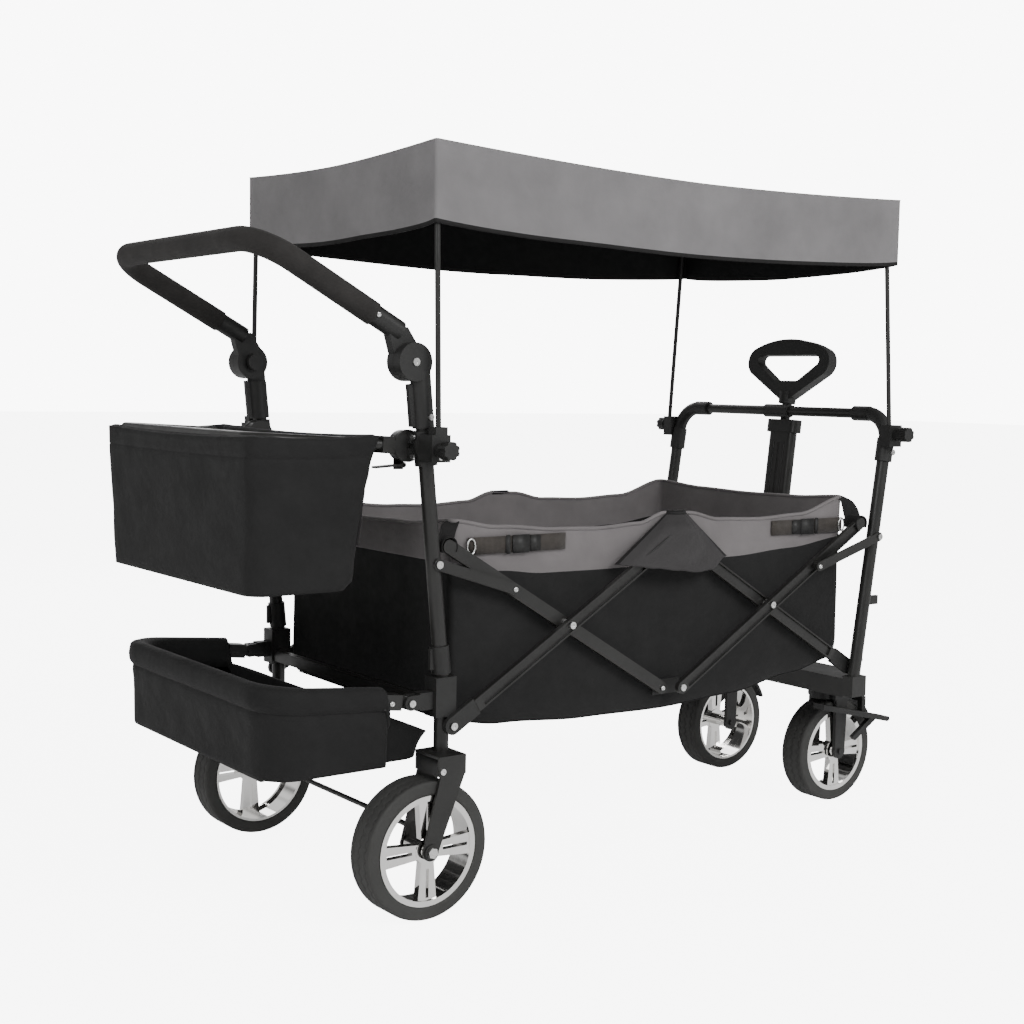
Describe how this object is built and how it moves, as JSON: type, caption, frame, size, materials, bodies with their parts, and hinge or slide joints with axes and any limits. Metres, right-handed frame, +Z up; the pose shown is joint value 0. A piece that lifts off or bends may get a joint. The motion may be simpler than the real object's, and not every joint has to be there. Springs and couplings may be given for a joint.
{
  "type": "folding pull wagon",
  "caption": "Folding children's wagon: scissor side frames, fabric tub, canopy on poles, push handle, pull handle, storage baskets, fixed rear wheels, front casters.",
  "frame": {"origin": "on the ground, under the middle of the whole wagon as it stands unfolded", "axes": "+X towards the pull handle and casters, +Y towards the wagon's left, +Z up"},
  "size_m": [1.351, 0.639, 1.094],
  "materials": {
    "black_steel": "satin black powder coat",
    "black_plastic": "moulded nylon, fine grain",
    "foam_grip": "closed-cell foam sleeve",
    "silver_fastener": "zinc plated",
    "black_cloth": "woven polyester",
    "grey_cloth": "woven polyester, warm grey",
    "webbing": "ribbed polypropylene webbing",
    "tyre_rubber": "matte dark grey",
    "rim_chrome": "bright plated plastic"
  },
  "bodies": {
    "rear_frame": {"rear_uprights": "black_steel", "rear_brackets": "black_plastic", "rear_clamps": "black_plastic", "handle_sleeves": "black_plastic", "rear_forks": "black_steel", "rear_crossbars": "black_steel", "rear_canopy_poles": "black_steel", "rear_fasteners": "silver_fastener", "tub_fabric": "black_cloth", "corner_straps": "webbing", "floor_mat": "black_cloth", "canopy_fabric": "grey_cloth"},
    "rear_knob_right_body": {"rear_knob_right": "black_plastic"},
    "rear_knob_left_body": {"rear_knob_left": "black_plastic"},
    "hub_button_right_body": {"hub_button_right": "black_plastic"},
    "hub_button_left_body": {"hub_button_left": "black_plastic"},
    "push_handle": {"handle_tube": "black_steel", "handle_grip": "foam_grip", "handle_arms": "black_plastic"},
    "upper_basket": {"upper_basket_frame": "black_steel", "upper_basket_bag": "black_cloth"},
    "basket_lever_right_body": {"basket_lever_right": "black_plastic"},
    "basket_lever_left_body": {"basket_lever_left": "black_plastic"},
    "lower_basket": {"lower_basket_frame": "black_steel", "lower_basket_bag": "black_cloth"},
    "rear_arm_pair": {"rear_arms": "black_steel", "rear_arm_sleeves": "black_plastic", "arm_rivets": "silver_fastener"},
    "rear_brace_pair": {"rear_braces": "black_steel"},
    "centre_hub_pair": {"centre_hubs": "black_plastic"},
    "rear_link_pair": {"rear_links": "black_steel"},
    "front_arm_pair": {"front_arms": "black_steel", "front_arm_sleeves": "black_plastic"},
    "front_brace_pair": {"front_braces": "black_steel", "brace_rivets": "silver_fastener"},
    "front_link_pair": {"front_links": "black_steel"},
    "front_frame": {"front_uprights": "black_steel", "corner_fittings": "black_plastic", "top_crossbars": "black_steel", "centre_clip": "black_plastic", "front_crossmember": "black_steel", "front_canopy_poles": "black_steel", "front_fasteners": "silver_fastener"},
    "front_knob_right_body": {"front_knob_right": "black_plastic"},
    "front_knob_left_body": {"front_knob_left": "black_plastic"},
    "pull_arm": {"pull_channel": "black_steel"},
    "pull_slider": {"pull_tube": "black_steel", "pull_grip": "black_plastic"},
    "caster_right_body": {"caster_right": "black_plastic"},
    "brake_pedal_right_body": {"brake_pedal_right": "black_plastic"},
    "rear_wheel_right": {"rear_tyre_right": "tyre_rubber", "rear_rim_right": "rim_chrome"},
    "front_wheel_right": {"front_tyre_right": "tyre_rubber", "front_rim_right": "rim_chrome"},
    "caster_left_body": {"caster_left": "black_plastic"},
    "brake_pedal_left_body": {"brake_pedal_left": "black_plastic"},
    "rear_wheel_left": {"rear_tyre_left": "tyre_rubber", "rear_rim_left": "rim_chrome"},
    "front_wheel_left": {"front_tyre_left": "tyre_rubber", "front_rim_left": "rim_chrome"}
  },
  "joints": [
    {"name": "fold", "type": "hinge", "parent": "rear_frame", "child": "rear_arm_pair", "pos_m": [-0.359, 0, 0.272], "axis": [0, -1, 0], "range_deg": [0, 46], "deforming": ["tub_fabric", "floor_mat", "canopy_fabric", "corner_straps"]},
    {"name": "rear_brace_turn", "type": "hinge", "parent": "rear_arm_pair", "child": "rear_brace_pair", "pos_m": [-0.144, 0, 0.4], "axis": [0, -1, 0], "range_deg": [-92, 0]},
    {"name": "centre_hub_turn", "type": "hinge", "parent": "rear_brace_pair", "child": "centre_hub_pair", "pos_m": [0.056, 0, 0.28093], "axis": [0, -1, 0], "range_deg": [0, 46]},
    {"name": "rear_link_turn", "type": "hinge", "parent": "rear_frame", "child": "rear_link_pair", "pos_m": [-0.3812, 0, 0.504], "axis": [0, -1, 0], "range_deg": [0, 85.24]},
    {"name": "front_arm_turn", "type": "hinge", "parent": "rear_arm_pair", "child": "front_arm_pair", "pos_m": [0.071, 0, 0.528], "axis": [0, -1, 0], "range_deg": [-92, 0]},
    {"name": "front_brace_turn", "type": "hinge", "parent": "front_arm_pair", "child": "front_brace_pair", "pos_m": [0.286, 0, 0.4], "axis": [0, -1, 0], "range_deg": [0, 92]},
    {"name": "front_frame_turn", "type": "hinge", "parent": "front_arm_pair", "child": "front_frame", "pos_m": [0.501, 0, 0.272], "axis": [0, -1, 0], "range_deg": [0, 46]},
    {"name": "front_link_turn", "type": "hinge", "parent": "front_frame", "child": "front_link_pair", "pos_m": [0.53714, 0, 0.504], "axis": [0, -1, 0], "range_deg": [-78.48, 0]},
    {"name": "push_handle_tilt", "type": "hinge", "parent": "rear_frame", "child": "push_handle", "pos_m": [-0.424, 0, 0.788], "axis": [0, 1, 0], "range_deg": [-45, 40]},
    {"name": "hub_button_right_press", "type": "slide", "parent": "push_handle", "child": "hub_button_right_body", "axis": [0, -1, 0], "range_m": [0, 0.003], "stiffness_N_per_m": 800},
    {"name": "hub_button_left_press", "type": "slide", "parent": "push_handle", "child": "hub_button_left_body", "axis": [0, 1, 0], "range_m": [0, 0.003], "stiffness_N_per_m": 800},
    {"name": "upper_basket_fold", "type": "hinge", "parent": "rear_frame", "child": "upper_basket", "pos_m": [-0.417, 0, 0.671], "axis": [0, -1, 0], "range_deg": [0, 80], "deforming": ["upper_basket_bag"]},
    {"name": "basket_lever_right_press", "type": "hinge", "parent": "upper_basket", "child": "basket_lever_right_body", "pos_m": [-0.419, -0.219, 0.644], "axis": [0, 1, 0], "range_deg": [0, 12], "stiffness_Nm_per_rad": 0.05},
    {"name": "basket_lever_left_press", "type": "hinge", "parent": "upper_basket", "child": "basket_lever_left_body", "pos_m": [-0.419, 0.219, 0.644], "axis": [0, 1, 0], "range_deg": [0, 12], "stiffness_Nm_per_rad": 0.05},
    {"name": "lower_basket_fold", "type": "hinge", "parent": "rear_frame", "child": "lower_basket", "pos_m": [-0.421, 0, 0.309], "axis": [0, 1, 0], "range_deg": [0, 80], "deforming": ["lower_basket_bag"]},
    {"name": "pull_swing", "type": "hinge", "parent": "front_frame", "child": "pull_arm", "pos_m": [0.538, 0, 0.266], "axis": [0, 1, 0], "range_deg": [0, 80]},
    {"name": "pull_extend", "type": "slide", "parent": "pull_arm", "child": "pull_slider", "axis": [0.1149, 0, 0.9934], "range_m": [0, 0.3]},
    {"name": "rear_knob_right_turn", "type": "hinge", "parent": "rear_frame", "child": "rear_knob_right_body", "pos_m": [-0.399, -0.3, 0.667], "axis": [0, 1, 0], "continuous": true},
    {"name": "rear_knob_left_turn", "type": "hinge", "parent": "rear_frame", "child": "rear_knob_left_body", "pos_m": [-0.399, 0.3, 0.667], "axis": [0, 1, 0], "continuous": true},
    {"name": "front_knob_right_turn", "type": "hinge", "parent": "front_frame", "child": "front_knob_right_body", "pos_m": [0.56, -0.3, 0.684], "axis": [0, 1, 0], "continuous": true},
    {"name": "front_knob_left_turn", "type": "hinge", "parent": "front_frame", "child": "front_knob_left_body", "pos_m": [0.56, 0.3, 0.684], "axis": [0, 1, 0], "continuous": true},
    {"name": "rear_wheel_right_spin", "type": "hinge", "parent": "rear_frame", "child": "rear_wheel_right", "pos_m": [-0.405, -0.255, 0.1], "axis": [0, 1, 0], "continuous": true},
    {"name": "rear_wheel_left_spin", "type": "hinge", "parent": "rear_frame", "child": "rear_wheel_left", "pos_m": [-0.405, 0.255, 0.1], "axis": [0, 1, 0], "continuous": true},
    {"name": "caster_right_swivel", "type": "hinge", "parent": "front_frame", "child": "caster_right_body", "pos_m": [0.56, -0.141, 0.2], "axis": [0, 0, 1], "continuous": true},
    {"name": "front_wheel_right_spin", "type": "hinge", "parent": "caster_right_body", "child": "front_wheel_right", "pos_m": [0.576, -0.141, 0.0935], "axis": [0, 1, 0], "continuous": true},
    {"name": "brake_pedal_right_press", "type": "hinge", "parent": "caster_right_body", "child": "brake_pedal_right_body", "pos_m": [0.598, -0.141, 0.1982], "axis": [0, 1, 0], "range_deg": [0, 5]},
    {"name": "caster_left_swivel", "type": "hinge", "parent": "front_frame", "child": "caster_left_body", "pos_m": [0.56, 0.141, 0.2], "axis": [0, 0, 1], "continuous": true},
    {"name": "front_wheel_left_spin", "type": "hinge", "parent": "caster_left_body", "child": "front_wheel_left", "pos_m": [0.576, 0.141, 0.0935], "axis": [0, 1, 0], "continuous": true},
    {"name": "brake_pedal_left_press", "type": "hinge", "parent": "caster_left_body", "child": "brake_pedal_left_body", "pos_m": [0.598, 0.141, 0.1982], "axis": [0, 1, 0], "range_deg": [0, 5]}
  ],
  "couplings": [
    {"joint": "rear_brace_turn", "follows": "fold", "ratio": -2},
    {"joint": "centre_hub_turn", "follows": "fold", "ratio": 1},
    {"joint": "rear_link_turn", "follows": "fold", "ratio": 1.853},
    {"joint": "front_arm_turn", "follows": "fold", "ratio": -2},
    {"joint": "front_brace_turn", "follows": "fold", "ratio": 2},
    {"joint": "front_frame_turn", "follows": "fold", "ratio": 1},
    {"joint": "front_link_turn", "follows": "fold", "ratio": -1.706}
  ]
}
